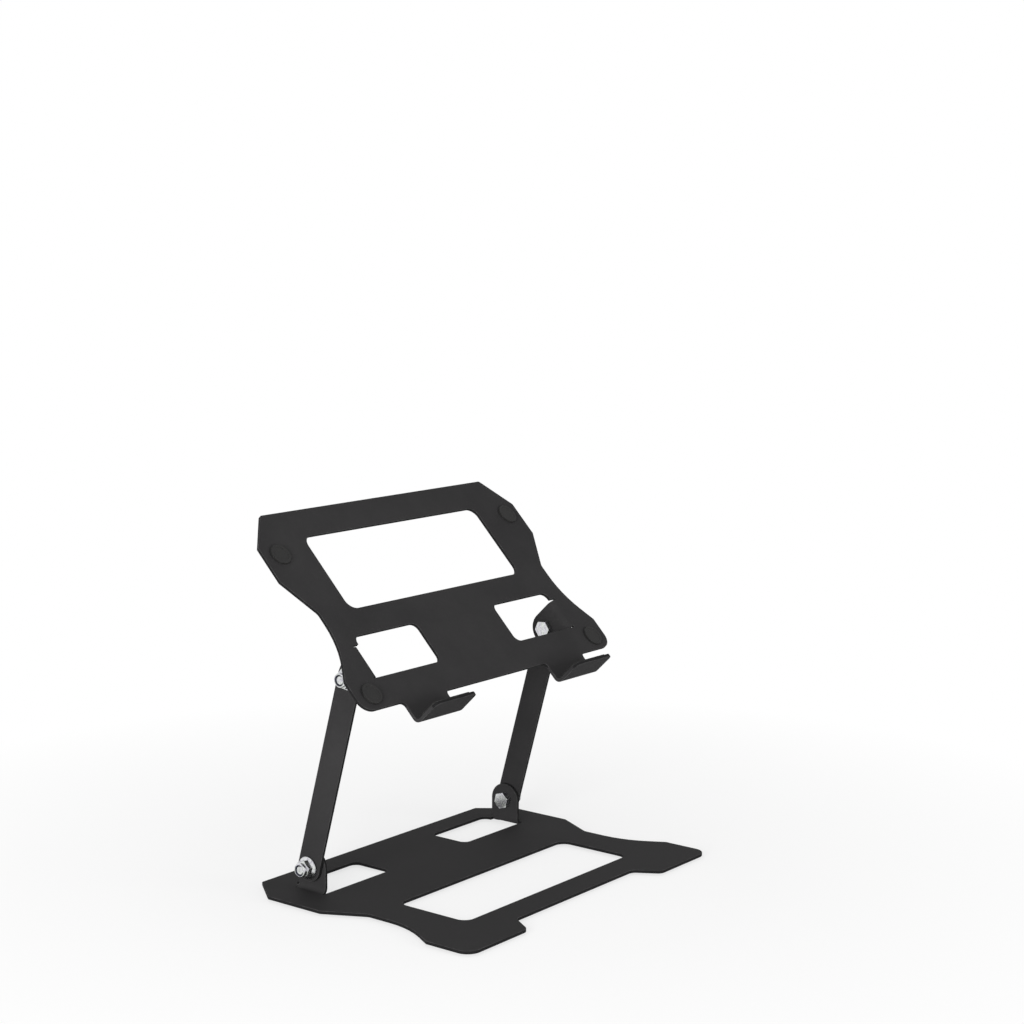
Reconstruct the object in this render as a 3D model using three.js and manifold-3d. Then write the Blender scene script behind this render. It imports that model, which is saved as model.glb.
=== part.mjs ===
// A folding laptop stand in bent sheet steel: a base plate, two flat arms on friction hinges, and a
// tilted platform with two hooks that stop the laptop from sliding off.
// Millimetres. X runs across the stand, Y away from the user, Z up. The origin lies under the
// middle of the base plate, on the table.
import * as THREE from 'three';
import { mergeVertices } from 'three/addons/utils/BufferGeometryUtils.js';
import Module from 'manifold-3d';

const wasm = await Module();
wasm.setup();

// Driving dimensions: the sheet and the overall form
const sheetThickness = 2;
const standWidth = 245;
const plateDepth = 181;
const platformDepth = 160;
const armLength = 128;
const armWidth = 17.5;
const armLean = THREE.MathUtils.degToRad(15.5);
const platformTilt = THREE.MathUtils.degToRad(45.8);

// Where the hinges are
const hingeInset = 28.3;
const tabWidth = 22;
const tabBendRadius = 5;
const hingeHeight = 16.7;
const baseHingeSetback = 34.5;
const platformHingeReach = 47.8;

// Base plate outline
const plateCornerWidth = 17.5;
const plateCornerDepth = 22.5;
const plateCornerRadius = 2;
const plateWaistDepth = 14;
const plateWaistRear = 65.5;
const plateWaistRearSlope = 26.5;
const plateWaistFront = 32.5;
const plateWaistFrontSlope = 24.5;
const plateWaistSweep = 60;
const plateWaistEase = 6;
const plateToeRadius = 9;
const plateToeWidth = 53;
const plateBayDepth = 16;
const plateBaySlope = 10;
const plateBayRadius = 5.5;

// Windows in both sheets
const tabWindowLength = 61.7;
const tabWindowAhead = 12;
const tabWindowBehind = 17.8;
const tabWindowRadius = 5;
const tabRelief = 1;
const windowSideRail = 40;
const plateWindowDepth = 53;
const plateWindowSetback = 35.5;
const platformWindowDepth = 56;
const platformWindowSetback = 20;
const windowRadius = 7;

// Platform outline and its hooks
const platformFrontStep = 16;
const platformCornerWidth = 17.5;
const platformCornerDepth = 22.5;
const platformWaistDepth = 14;
const platformWaistRear = 48;
const platformWaistRearSlope = 26;
const platformWaistFront = 22;
const platformWaistFrontSlope = 24;
const platformToeRadius = 9;
const hookInset = 53.5;
const hookWidth = 38;
const hookHeight = 21.5;
const hookBendRadius = 4.5;
const hookTipRadius = 4;
const hookRootRadius = 3;

// Fasteners of the four hinges
const boltRadius = 3;
const boltHeadAcross = 10;
const boltHeadHeight = 4;
const boltHeadFaceRadius = 4.7;
const boltTipChamfer = 0.6;
const boltEndRecess = 0.5;
const washerRadius = 7;
const washerThickness = 0.5;
const nutFlangeRadius = 7.1;
const nutFlangeEdge = 1.1;
const nutFlangeHeight = 2.4;
const nutHexAcross = 10;
const nutHexTop = 5.6;
const nutHexFaceRadius = 4.8;
const nutHeight = 8;
const nutCollarRadius = 4.5;
const nutCollarRound = 0.5;
const nutCollarLip = 0.4;
const nutCollarMouthRadius = 3.5;
const nutRingPocketRadius = 4;
const nutRingPocketFloor = 5.8;
const hexChamfer = THREE.MathUtils.degToRad(30);
const lowerBoltTurn = THREE.MathUtils.degToRad(13);
const lowerNutTurn = THREE.MathUtils.degToRad(14);
const upperBoltTurn = THREE.MathUtils.degToRad(25);
const upperNutTurn = THREE.MathUtils.degToRad(40);

// Rubber and soft trim
const footRadius = 7;
const footHeight = 1.5;
const footEdge = 0.4;
const footSideInset = 14.5;
const footRearInset = 21.5;
const footFrontInset = 17;
const padRadius = 7;
const padHeight = 1.2;
const padEdge = 0.3;
const padSideInset = 13;
const padRearInset = 30;
const padFrontInset = 10;
const linerWidth = 34;
const linerThickness = 1.2;
const linerTopMargin = 2.5;
const linerRadius = 2.5;

// Clearances
const holeClearance = 0.3;
const seatGap = 0.3;
const softGap = 0.3;
const ringClearance = 0.15;
const cutOverrun = 3;

const hexSides = 6;
const roundSides = 24;
const arcStep = THREE.MathUtils.degToRad(15);

// Finishes
const blackCoat = new THREE.MeshStandardMaterial({ color: 0x2c2b2c, roughness: 0.6, metalness: 0.1 });
const zinc = new THREE.MeshStandardMaterial({ color: 0xc9ccd0, roughness: 0.3, metalness: 1 });
const blackRubber = new THREE.MeshStandardMaterial({ color: 0x171718, roughness: 0.9, metalness: 0 });
const nylon = new THREE.MeshStandardMaterial({ color: 0x1d1f24, roughness: 0.5, metalness: 0 });

// Places worked out from the dimensions above
const sideX = standWidth / 2;
const tabInnerX = sideX - hingeInset;
const tabRootX = tabInnerX + tabBendRadius;
const tabWindowInnerX = tabRootX - tabWindowLength;
const hookX = sideX - hookInset;
const washerX = tabInnerX + sheetThickness + seatGap;
const armX = washerX + washerThickness + seatGap;
const nutX = armX + sheetThickness + seatGap;
const boltEndX = nutX + nutHeight - boltEndRecess;
const boltHeadX = tabInnerX - seatGap - boltHeadHeight;
const lowerHingeY = plateDepth / 2 - baseHingeSetback;
const lowerHingeZ = footHeight + hingeHeight;
const upperHingeY = lowerHingeY - armLength * Math.sin(armLean);
const upperHingeZ = lowerHingeZ + armLength * Math.cos(armLean);
const holeRadius = boltRadius + holeClearance;
const arcDivisions = roundSides / 2;
const platformTop = hingeHeight;
const platformUnderside = platformTop - sheetThickness;
const platformFront = -platformHingeReach;
const platformRear = platformFront + platformDepth;

// Turns a closed triangle geometry into a solid that can be joined and cut.
function solidOf(geometry) {
  const bare = geometry.clone();
  bare.deleteAttribute('normal');
  bare.deleteAttribute('uv');
  const merged = mergeVertices(bare);
  const corners = merged.index.array;
  const kept = [];
  for (let i = 0; i < corners.length; i += 3) {
    const [a, b, c] = [corners[i], corners[i + 1], corners[i + 2]];
    if (a !== b && b !== c && c !== a) kept.push(a, b, c);
  }
  return new wasm.Manifold(new wasm.Mesh({
    numProp: 3,
    vertProperties: new Float32Array(merged.attributes.position.array),
    triVerts: new Uint32Array(kept),
  }));
}

// Turns a solid back into a geometry for a mesh.
function geometryOf(solid) {
  const result = solid.getMesh();
  const geometry = new THREE.BufferGeometry();
  geometry.setAttribute('position', new THREE.BufferAttribute(result.vertProperties, 3));
  geometry.setIndex(new THREE.BufferAttribute(result.triVerts, 1));
  geometry.computeVertexNormals();
  return geometry;
}

// A closed outline through corners given as [x, y, radius], with an arc at each round corner.
function roundedOutline(corners) {
  const points = [];
  corners.forEach(([x, y, radius], i) => {
    const corner = new THREE.Vector2(x, y);
    const before = corners[(i + corners.length - 1) % corners.length];
    const after = corners[(i + 1) % corners.length];
    if (radius === 0) {
      points.push(corner);
      return;
    }
    const incoming = corner.clone().sub(new THREE.Vector2(before[0], before[1])).normalize();
    const outgoing = new THREE.Vector2(after[0], after[1]).sub(corner).normalize();
    const turn = Math.atan2(incoming.cross(outgoing), incoming.dot(outgoing));
    const start = corner.clone().addScaledVector(incoming, -radius * Math.tan(Math.abs(turn) / 2));
    const side = new THREE.Vector2(-incoming.y, incoming.x).multiplyScalar(Math.sign(turn));
    const centre = start.clone().addScaledVector(side, radius);
    const steps = Math.max(2, Math.ceil(Math.abs(turn) / arcStep));
    for (let k = 0; k <= steps; k += 1) {
      points.push(start.clone().rotateAround(centre, turn * k / steps));
    }
  });
  return points;
}

// The right half of an outline, from rear to front, completed by its mirror image.
function mirroredOutline(rightCorners) {
  const leftCorners = rightCorners.map(([x, y, radius]) => [-x, y, radius]);
  return roundedOutline([...leftCorners, ...rightCorners.reverse()]);
}

function roundedRectangle(left, right, front, rear, radius) {
  return roundedOutline([
    [left, front, radius],
    [right, front, radius],
    [right, rear, radius],
    [left, rear, radius],
  ]);
}

function extruded(outline, depth) {
  return new THREE.ExtrudeGeometry(new THREE.Shape(outline), { depth, bevelEnabled: false });
}

// An outline drawn in Y and Z and given a length along X, from zero.
function extrudedAlongX(outline, length) {
  return extruded(outline, length).rotateX(Math.PI / 2).rotateZ(Math.PI / 2);
}

// An outline drawn in X and Z and given a width along Y, centred on zero.
function extrudedAlongY(outline, width) {
  return extruded(outline, width).rotateX(Math.PI / 2).translate(0, width / 2, 0);
}

// A profile of [radius, distance] pairs turned about the X axis. The outer side runs towards +X.
function turnedAboutX(profile) {
  const points = profile.map(([radius, distance]) => new THREE.Vector2(radius, distance));
  return new THREE.LatheGeometry(points, roundSides).rotateZ(-Math.PI / 2);
}

function turnedAboutZ(profile) {
  return turnedAboutX(profile).rotateY(-Math.PI / 2);
}

function roundHole(radius, from, to) {
  return solidOf(turnedAboutX([[0, from], [radius, from], [radius, to], [0, to]]));
}

// A sheet bent through a right angle, seen end on: a flat foot along +x, then the wall along +y.
// The outside of the bend is at the origin's corner.
function bentProfile(bendRadius, footLength, wallHeight) {
  return roundedOutline([
    [0, 0, bendRadius],
    [footLength, 0, 0],
    [footLength, sheetThickness, 0],
    [sheetThickness, sheetThickness, bendRadius - sheetThickness],
    [sheetThickness, wallHeight, 0],
    [0, wallHeight, 0],
  ]);
}

// A hinge tab around the bolt axis, on the right-hand side and standing up from a sheet below it.
function hingeTab() {
  const tabRadius = tabWidth / 2;
  const bent = solidOf(
    extrudedAlongY(bentProfile(tabBendRadius, tabBendRadius + cutOverrun, hingeHeight + tabRadius), tabWidth)
      .translate(tabInnerX, 0, -hingeHeight),
  );
  const face = new THREE.Shape();
  face.moveTo(tabRadius, -hingeHeight - cutOverrun);
  face.lineTo(tabRadius, 0);
  face.absarc(0, 0, tabRadius, 0, Math.PI, false);
  face.lineTo(-tabRadius, -hingeHeight - cutOverrun);
  const faceDepth = tabBendRadius + cutOverrun * 2;
  const facePrism = extrudedAlongX(face.getPoints(arcDivisions), faceDepth);
  const rounded = bent.intersect(solidOf(facePrism.translate(tabInnerX - cutOverrun / 2, 0, 0)));
  return rounded.subtract(
    roundHole(holeRadius, tabInnerX - cutOverrun, tabInnerX + sheetThickness + cutOverrun),
  );
}

// The four places of the tab: base or platform, right or left.
function placedTab(turnAboutX, turnAboutZ, y, z) {
  const geometry = geometryOf(hingeTab()).rotateX(turnAboutX).rotateZ(turnAboutZ).translate(0, y, z);
  return solidOf(geometry);
}

function tabWindowCorners(hingeY) {
  const front = hingeY - tabWindowAhead;
  const rear = hingeY + tabWindowBehind;
  const reliefY = hingeY + tabWidth / 2 + tabRelief;
  return [
    [tabWindowInnerX, front, tabWindowRadius],
    [tabRootX, front, 0],
    [tabRootX, reliefY, 0],
    [tabInnerX, reliefY, 0],
    [tabInnerX, rear, tabWindowRadius],
    [tabWindowInnerX, rear, tabWindowRadius],
  ];
}

function middleWindow(front, rear) {
  const windowX = sideX - windowSideRail;
  return roundedRectangle(-windowX, windowX, front, rear, windowRadius);
}

// A sheet with its outline and windows cut, lying flat with its lower face at height z.
function cutSheet(outline, hingeY, window, z) {
  const sheet = new THREE.Shape(outline);
  const rightWindow = roundedOutline(tabWindowCorners(hingeY));
  const leftWindow = rightWindow.map((point) => new THREE.Vector2(-point.x, point.y));
  sheet.holes.push(new THREE.Path(rightWindow), new THREE.Path(leftWindow), new THREE.Path(window));
  const geometry = new THREE.ExtrudeGeometry(sheet, { depth: sheetThickness, bevelEnabled: false });
  return solidOf(geometry.translate(0, 0, z));
}

// Base plate: two toes in front, a waist at each side, and a tab bent up out of each rear window.
function basePlate() {
  const rear = plateDepth / 2;
  const front = -rear;
  const waist = sideX - plateWaistDepth;
  const waistFrontY = front + plateWaistFront;
  const waistRearY = rear - plateWaistRear;
  const toeInner = sideX - plateToeWidth;
  const outline = mirroredOutline([
    [sideX - plateCornerWidth, rear, plateCornerRadius],
    [sideX, rear - plateCornerDepth, plateCornerRadius],
    [sideX, waistRearY, plateCornerRadius],
    [waist, waistRearY - plateWaistRearSlope, plateWaistEase],
    [waist, waistFrontY + plateWaistFrontSlope, plateWaistSweep],
    [sideX, waistFrontY, plateCornerRadius],
    [sideX, front, plateToeRadius],
    [toeInner, front, plateBayRadius],
    [toeInner - plateBaySlope, front + plateBayDepth, plateBayRadius],
  ]);
  const windowFront = front + plateWindowSetback;
  const window = middleWindow(windowFront, windowFront + plateWindowDepth);
  const plate = cutSheet(outline, lowerHingeY, window, footHeight)
    .add(placedTab(0, 0, lowerHingeY, lowerHingeZ))
    .add(placedTab(0, Math.PI, lowerHingeY, lowerHingeZ));
  return geometryOf(plate);
}

// Hook: a tongue of the platform bent up through a right angle, with a rounded tip.
function hook(centreX) {
  const wall = solidOf(
    extrudedAlongX(bentProfile(hookBendRadius, hookBendRadius + cutOverrun, hookHeight), hookWidth)
      .translate(centreX - hookWidth / 2, platformFront, platformUnderside),
  );
  const halfWidth = hookWidth / 2;
  const face = roundedOutline([
    [-halfWidth, -cutOverrun, 0],
    [halfWidth, -cutOverrun, 0],
    [halfWidth, hookHeight, hookTipRadius],
    [-halfWidth, hookHeight, hookTipRadius],
  ]);
  const faceDepth = (hookBendRadius + cutOverrun * 2) * 2;
  return wall.intersect(
    solidOf(extrudedAlongY(face, faceDepth).translate(centreX, platformFront, platformUnderside)),
  );
}

// Platform: the same kind of sheet, with ears bent down at the hinges and two hooks in front.
function platformSheet() {
  const waist = sideX - platformWaistDepth;
  const frontEdge = platformFront + platformFrontStep;
  const waistRearY = platformRear - platformWaistRear;
  const waistFrontY = frontEdge + platformWaistFront;
  const hookOuter = hookX + hookWidth / 2;
  const hookInner = hookX - hookWidth / 2;
  const bendStart = platformFront + hookBendRadius;
  const outline = mirroredOutline([
    [sideX - platformCornerWidth, platformRear, plateCornerRadius],
    [sideX, platformRear - platformCornerDepth, plateCornerRadius],
    [sideX, waistRearY, plateCornerRadius],
    [waist, waistRearY - platformWaistRearSlope, plateWaistEase],
    [waist, waistFrontY + platformWaistFrontSlope, plateWaistSweep],
    [sideX, waistFrontY, plateCornerRadius],
    [sideX, frontEdge, platformToeRadius],
    [hookOuter, frontEdge, hookRootRadius],
    [hookOuter, bendStart, 0],
    [hookInner, bendStart, 0],
    [hookInner, frontEdge, hookRootRadius],
  ]);
  const windowRear = platformRear - platformWindowSetback;
  const window = middleWindow(windowRear - platformWindowDepth, windowRear);
  const sheet = cutSheet(outline, 0, window, platformUnderside)
    .add(placedTab(Math.PI, 0, 0, 0))
    .add(placedTab(Math.PI, Math.PI, 0, 0))
    .add(hook(hookX))
    .add(hook(-hookX));
  return geometryOf(sheet);
}

// Arm: a flat bar with round ends and a bolt hole at each end, standing up from its lower hole.
function armBar() {
  const halfWidth = armWidth / 2;
  const bar = new THREE.Shape();
  bar.moveTo(halfWidth, 0);
  bar.lineTo(halfWidth, armLength);
  bar.absarc(0, armLength, halfWidth, 0, Math.PI, false);
  bar.lineTo(-halfWidth, 0);
  bar.absarc(0, 0, halfWidth, Math.PI, Math.PI * 2, false);
  for (const height of [0, armLength]) {
    const hole = new THREE.Path();
    hole.absarc(0, height, holeRadius, 0, Math.PI * 2, true);
    bar.holes.push(hole);
  }
  const geometry = new THREE.ExtrudeGeometry(bar, {
    depth: sheetThickness,
    bevelEnabled: false,
    curveSegments: arcDivisions,
  });
  return geometry.rotateX(Math.PI / 2).rotateZ(Math.PI / 2);
}

// A hexagonal prism about the X axis, its corners cut back at one end as on a real head or nut.
function hexagon(across, from, to, faceRadius, chamferAtEnd) {
  const cornerRadius = across / Math.sqrt(3);
  const prism = new THREE.CylinderGeometry(cornerRadius, cornerRadius, to - from, hexSides)
    .rotateZ(-Math.PI / 2)
    .translate((from + to) / 2, 0, 0);
  const cutRadius = cornerRadius + cutOverrun;
  const chamfer = (cutRadius - faceRadius) * Math.tan(hexChamfer);
  const profile = chamferAtEnd
    ? [[0, from], [cutRadius, from], [cutRadius, to - chamfer], [faceRadius, to], [0, to]]
    : [[0, from], [faceRadius, from], [cutRadius, from + chamfer], [cutRadius, to], [0, to]];
  return solidOf(prism).intersect(solidOf(turnedAboutX(profile)));
}

// Hex bolt: its head lies on the inner side of the tab, its shank passes out through the arm.
function hexBolt() {
  const headEnd = boltHeadX + boltHeadHeight;
  const head = hexagon(boltHeadAcross, boltHeadX, headEnd, boltHeadFaceRadius, false);
  const shank = solidOf(turnedAboutX([
    [0, headEnd - boltHeadHeight / 2],
    [boltRadius, headEnd - boltHeadHeight / 2],
    [boltRadius, boltEndX - boltTipChamfer],
    [boltRadius - boltTipChamfer, boltEndX],
    [0, boltEndX],
  ]));
  return geometryOf(head.add(shank));
}

// Washer of slippery nylon between the tab and the arm.
function frictionWasher() {
  const end = washerX + washerThickness;
  return turnedAboutX([
    [holeRadius, washerX],
    [washerRadius, washerX],
    [washerRadius, end],
    [holeRadius, end],
    [holeRadius, washerX],
  ]);
}

// Flange lock nut: a broad seat, a hexagon, and a collar that is rolled in over a nylon ring.
function lockNut() {
  const end = nutX + nutHeight;
  const body = solidOf(turnedAboutX([
    [0, nutX],
    [nutFlangeRadius, nutX],
    [nutFlangeRadius, nutX + nutFlangeEdge],
    [nutCollarRadius, nutX + nutFlangeHeight],
    [nutCollarRadius, end - nutCollarRound],
    [nutCollarRadius - nutCollarRound, end],
    [0, end],
  ]));
  const hex = hexagon(nutHexAcross, nutX + nutFlangeEdge / 2, nutX + nutHexTop, nutHexFaceRadius, true);
  const bore = solidOf(turnedAboutX([
    [0, nutX - cutOverrun],
    [holeRadius, nutX - cutOverrun],
    [holeRadius, nutX + nutRingPocketFloor],
    [nutRingPocketRadius, nutX + nutRingPocketFloor],
    [nutRingPocketRadius, end - nutCollarLip],
    [nutCollarMouthRadius, end - nutCollarLip],
    [nutCollarMouthRadius, end + cutOverrun],
    [0, end + cutOverrun],
  ]));
  return geometryOf(body.add(hex).subtract(bore));
}

// Nylon ring in the nut's collar, which grips the thread.
function lockRing() {
  const inner = boltRadius + ringClearance;
  const outer = nutRingPocketRadius - ringClearance;
  const start = nutX + nutRingPocketFloor + ringClearance;
  const end = nutX + nutHeight - nutCollarLip - ringClearance;
  return turnedAboutX([[inner, start], [outer, start], [outer, end], [inner, end], [inner, start]]);
}

// A low round button of rubber, its edge eased at the end that is touched.
function rubberButton(radius, height, edge, touchesBelow) {
  return touchesBelow
    ? turnedAboutZ([[0, 0], [radius - edge, 0], [radius, edge], [radius, height], [0, height]])
    : turnedAboutZ([[0, 0], [radius, 0], [radius, height - edge], [radius - edge, height], [0, height]]);
}

// Liner inside a hook, where the laptop's front edge leans.
function hookLiner() {
  const bottom = hookBendRadius;
  const top = hookHeight - linerTopMargin;
  const halfWidth = linerWidth / 2;
  const outline = roundedRectangle(-halfWidth, halfWidth, bottom, top, linerRadius);
  return extrudedAlongY(outline, linerThickness);
}

function mesh(name, geometry, material) {
  const piece = new THREE.Mesh(geometry, material);
  piece.name = name;
  return piece;
}

// The bolt, washer, nut and ring of one hinge, about its axis. The left side is the right one
// turned half round, so its hexagons turn the other way to mirror those on the right.
function hingeFasteners(name, onLeft, boltTurn, nutTurn) {
  const group = new THREE.Group();
  const bolt = mesh(`${name}_bolt`, hexBolt(), zinc);
  const nut = mesh(`${name}_nut`, lockNut(), zinc);
  bolt.rotation.x = onLeft ? -boltTurn : boltTurn;
  nut.rotation.x = onLeft ? -nutTurn : nutTurn;
  group.add(bolt, nut);
  group.add(mesh(`${name}_washer`, frictionWasher(), nylon));
  group.add(mesh(`${name}_nut_ring`, lockRing(), nylon));
  group.rotation.z = onLeft ? Math.PI : 0;
  return group;
}

const stand = new THREE.Group();

const base = new THREE.Group();
base.add(mesh('base_plate', basePlate(), blackCoat));
const footX = sideX - footSideInset;
const feet = [
  ['base_foot_front_left', -footX, footFrontInset - plateDepth / 2],
  ['base_foot_front_right', footX, footFrontInset - plateDepth / 2],
  ['base_foot_rear_left', -footX, plateDepth / 2 - footRearInset],
  ['base_foot_rear_right', footX, plateDepth / 2 - footRearInset],
];
for (const [name, x, y] of feet) {
  const foot = mesh(name, rubberButton(footRadius, footHeight, footEdge, true), blackRubber);
  foot.position.set(x, y, 0);
  base.add(foot);
}
const lowerHinges = new THREE.Group();
lowerHinges.add(hingeFasteners('lower_left', true, lowerBoltTurn, lowerNutTurn));
lowerHinges.add(hingeFasteners('lower_right', false, lowerBoltTurn, lowerNutTurn));
lowerHinges.position.set(0, lowerHingeY, lowerHingeZ);
base.add(lowerHinges);
stand.add(base);

const arms = new THREE.Group();
const rightArm = mesh('right_arm', armBar(), blackCoat);
rightArm.position.x = armX;
const leftArm = mesh('left_arm', armBar(), blackCoat);
leftArm.position.x = -armX - sheetThickness;
arms.add(leftArm, rightArm);
arms.position.set(0, lowerHingeY, lowerHingeZ);
arms.rotation.x = armLean;
stand.add(arms);

const platform = new THREE.Group();
platform.add(mesh('platform', platformSheet(), blackCoat));
const padX = sideX - padSideInset;
const padFrontY = platformFront + platformFrontStep + padFrontInset;
const padRearY = platformRear - padRearInset;
const pads = [
  ['platform_pad_front_left', -padX, padFrontY],
  ['platform_pad_front_right', padX, padFrontY],
  ['platform_pad_rear_left', -padX, padRearY],
  ['platform_pad_rear_right', padX, padRearY],
];
for (const [name, x, y] of pads) {
  const pad = mesh(name, rubberButton(padRadius, padHeight, padEdge, false), blackRubber);
  pad.position.set(x, y, platformTop + softGap);
  platform.add(pad);
}
const linerY = platformFront + sheetThickness + softGap + linerThickness / 2;
for (const [name, x] of [['hook_liner_left', -hookX], ['hook_liner_right', hookX]]) {
  const liner = mesh(name, hookLiner(), blackRubber);
  liner.position.set(x, linerY, platformUnderside);
  platform.add(liner);
}
platform.add(hingeFasteners('upper_left', true, upperBoltTurn, upperNutTurn));
platform.add(hingeFasteners('upper_right', false, upperBoltTurn, upperNutTurn));
platform.position.set(0, upperHingeY, upperHingeZ);
platform.rotation.x = platformTilt;
stand.add(platform);

export default stand;
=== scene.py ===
# %% [markdown]
# # Dressing a folding laptop stand
# The stand is two bent steel sheets and two flat arms, joined by four bolted friction hinges. Its
# sizes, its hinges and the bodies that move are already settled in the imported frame, so this script
# only gives the stand its surfaces: rounded sheet edges, real fasteners, rubber trim and finishes.

# %% Load the frame
import math

import bpy
from mathutils import Matrix, Vector


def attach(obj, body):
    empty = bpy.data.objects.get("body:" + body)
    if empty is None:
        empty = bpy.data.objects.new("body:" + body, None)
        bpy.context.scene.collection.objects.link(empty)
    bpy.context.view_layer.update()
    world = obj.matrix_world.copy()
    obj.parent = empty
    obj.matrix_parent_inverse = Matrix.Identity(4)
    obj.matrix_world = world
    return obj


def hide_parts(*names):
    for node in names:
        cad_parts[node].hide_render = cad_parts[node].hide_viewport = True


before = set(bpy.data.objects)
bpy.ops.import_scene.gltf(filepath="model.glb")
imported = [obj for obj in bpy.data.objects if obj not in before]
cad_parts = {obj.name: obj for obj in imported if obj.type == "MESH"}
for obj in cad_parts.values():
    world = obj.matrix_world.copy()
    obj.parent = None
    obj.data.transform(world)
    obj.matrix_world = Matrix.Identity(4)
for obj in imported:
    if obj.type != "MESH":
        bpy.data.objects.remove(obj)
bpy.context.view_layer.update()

# %% [markdown]
# ## Sizes
# The sizes that the new pieces share with the frame are written once, in metres. The sheet is 2 mm
# thick everywhere. The platform is modelled lying flat around its hinge axis and is turned to its
# tilt at the end, as the real one is cut flat, bent and only then hung between the arms.

# %% Shared sizes
MM = 0.001
SHEET = 2 * MM
SIDE_X = 122.5 * MM
REAR_Y = 90.5 * MM
HINGE_SETBACK = 34.5 * MM
FOOT_HEIGHT = 1.5 * MM
HINGE_HEIGHT = 16.7 * MM
TAB_INNER_X = 94.2 * MM
TAB_WIDTH = 22 * MM
TAB_BEND = 5 * MM
SEAT_GAP = 0.3 * MM
WASHER_THICKNESS = 0.5 * MM
HOLE_RADIUS = 3.3 * MM
ARM_LENGTH = 128 * MM
ARM_WIDTH = 17.5 * MM
ARM_LEAN = math.radians(15.5)
PLATFORM_TILT = math.radians(45.8)
CUT_OVERRUN = 3 * MM

TAB_ROOT_X = TAB_INNER_X + TAB_BEND
WASHER_X = TAB_INNER_X + SHEET + SEAT_GAP
ARM_X = WASHER_X + WASHER_THICKNESS + SEAT_GAP
NUT_X = ARM_X + SHEET + SEAT_GAP
LOWER_AXIS = Vector((0, REAR_Y - HINGE_SETBACK, FOOT_HEIGHT + HINGE_HEIGHT))
UPPER_AXIS = LOWER_AXIS + Vector((0, -math.sin(ARM_LEAN), math.cos(ARM_LEAN))) * ARM_LENGTH
print("hinge axes", tuple(LOWER_AXIS), tuple(UPPER_AXIS))

# %% [markdown]
# ## Drawing an outline by hand
# A cut sheet starts as an outline. By hand it would be drawn from one vertex, extruded along each
# straight stretch and spun around the centre of each rounded corner. Small helpers do the same, so
# that an outline is only a list of corners with their radii. The spin operator turns against the
# right-hand rule, so its angle is negated.

# %% Outline helpers
ARC_STEP = math.radians(6)
WELD_DISTANCE = 0.002 * MM
X_AXIS, Y_AXIS, Z_AXIS = Vector((1, 0, 0)), Vector((0, 1, 0)), Vector((0, 0, 1))
XY_PLANE = (X_AXIS, Y_AXIS)
XZ_PLANE = (X_AXIS, Z_AXIS)
YZ_PLANE = (Y_AXIS, Z_AXIS)


def select_none():
    """Leaves edit mode and deselects everything."""
    if bpy.context.object and bpy.context.object.mode != "OBJECT":
        bpy.ops.object.mode_set(mode="OBJECT")
    bpy.ops.object.select_all(action="DESELECT")


def pick(piece):
    """Makes a piece the active one and the only one that is selected."""
    select_none()
    bpy.context.view_layer.objects.active = piece
    piece.select_set(True)


def first_vertex(name, place):
    """A new object, in edit mode, that holds one vertex."""
    select_none()
    bpy.ops.mesh.primitive_plane_add(size=SHEET, location=(0, 0, 0))
    piece = bpy.context.object
    piece.name = name
    piece.data.name = name
    bpy.ops.object.mode_set(mode="EDIT")
    bpy.ops.mesh.merge(type="CENTER")
    bpy.ops.transform.translate(value=place)


def another_vertex(place):
    """One more loose vertex in the piece that is being edited."""
    bpy.ops.mesh.primitive_plane_add(size=SHEET, location=(0, 0, 0))
    bpy.ops.mesh.merge(type="CENTER")
    bpy.ops.transform.translate(value=place)


def corner_arc(corners, index):
    """Start point, turn and centre of the arc at one corner of a closed outline."""
    corner = Vector(corners[index][:2])
    radius = corners[index][2]
    incoming = (corner - Vector(corners[index - 1][:2])).normalized()
    outgoing = (Vector(corners[(index + 1) % len(corners)][:2]) - corner).normalized()
    turn = math.atan2(incoming.cross(outgoing), incoming.dot(outgoing))
    start = corner - incoming * radius * math.tan(abs(turn) / 2)
    side = Vector((-incoming.y, incoming.x)) * math.copysign(1, turn)
    return start, turn, start + side * radius


def draw_outline(corners, plane, origin, name=None):
    """Draws a closed outline of (a, b, radius) corners, as a new piece or in the open one."""
    first, second = plane

    def placed(point):
        return origin + first * point.x + second * point.y

    begin = corner_arc(corners, 0)[0]
    if name:
        first_vertex(name, placed(begin))
    else:
        another_vertex(placed(begin))
    here = begin
    for index in range(len(corners)):
        start, turn, centre = corner_arc(corners, index)
        if (start - here).length > WELD_DISTANCE:
            step = first * (start.x - here.x) + second * (start.y - here.y)
            bpy.ops.mesh.extrude_region_move(TRANSFORM_OT_translate={"value": step})
        here = start
        if corners[index][2] > 0:
            steps = max(2, math.ceil(abs(turn) / ARC_STEP))
            axis = first.cross(second)
            bpy.ops.mesh.spin(steps=steps, angle=-turn, center=placed(centre), axis=axis)
            here = centre + Matrix.Rotation(turn, 2) @ (start - centre)
    if (begin - here).length > WELD_DISTANCE:
        step = first * (begin.x - here.x) + second * (begin.y - here.y)
        bpy.ops.mesh.extrude_region_move(TRANSFORM_OT_translate={"value": step})


def fill_and_extrude(depth):
    """Fills the outlines of the open piece and gives the face a depth."""
    bpy.ops.mesh.select_all(action="SELECT")
    bpy.ops.mesh.remove_doubles(threshold=WELD_DISTANCE)
    bpy.ops.mesh.fill(use_beauty=True)
    bpy.ops.mesh.select_all(action="SELECT")
    bpy.ops.mesh.extrude_region_move(TRANSFORM_OT_translate={"value": depth})
    bpy.ops.mesh.select_all(action="SELECT")
    bpy.ops.mesh.normals_make_consistent(inside=False)
    bpy.ops.object.mode_set(mode="OBJECT")
    return bpy.context.object


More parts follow.
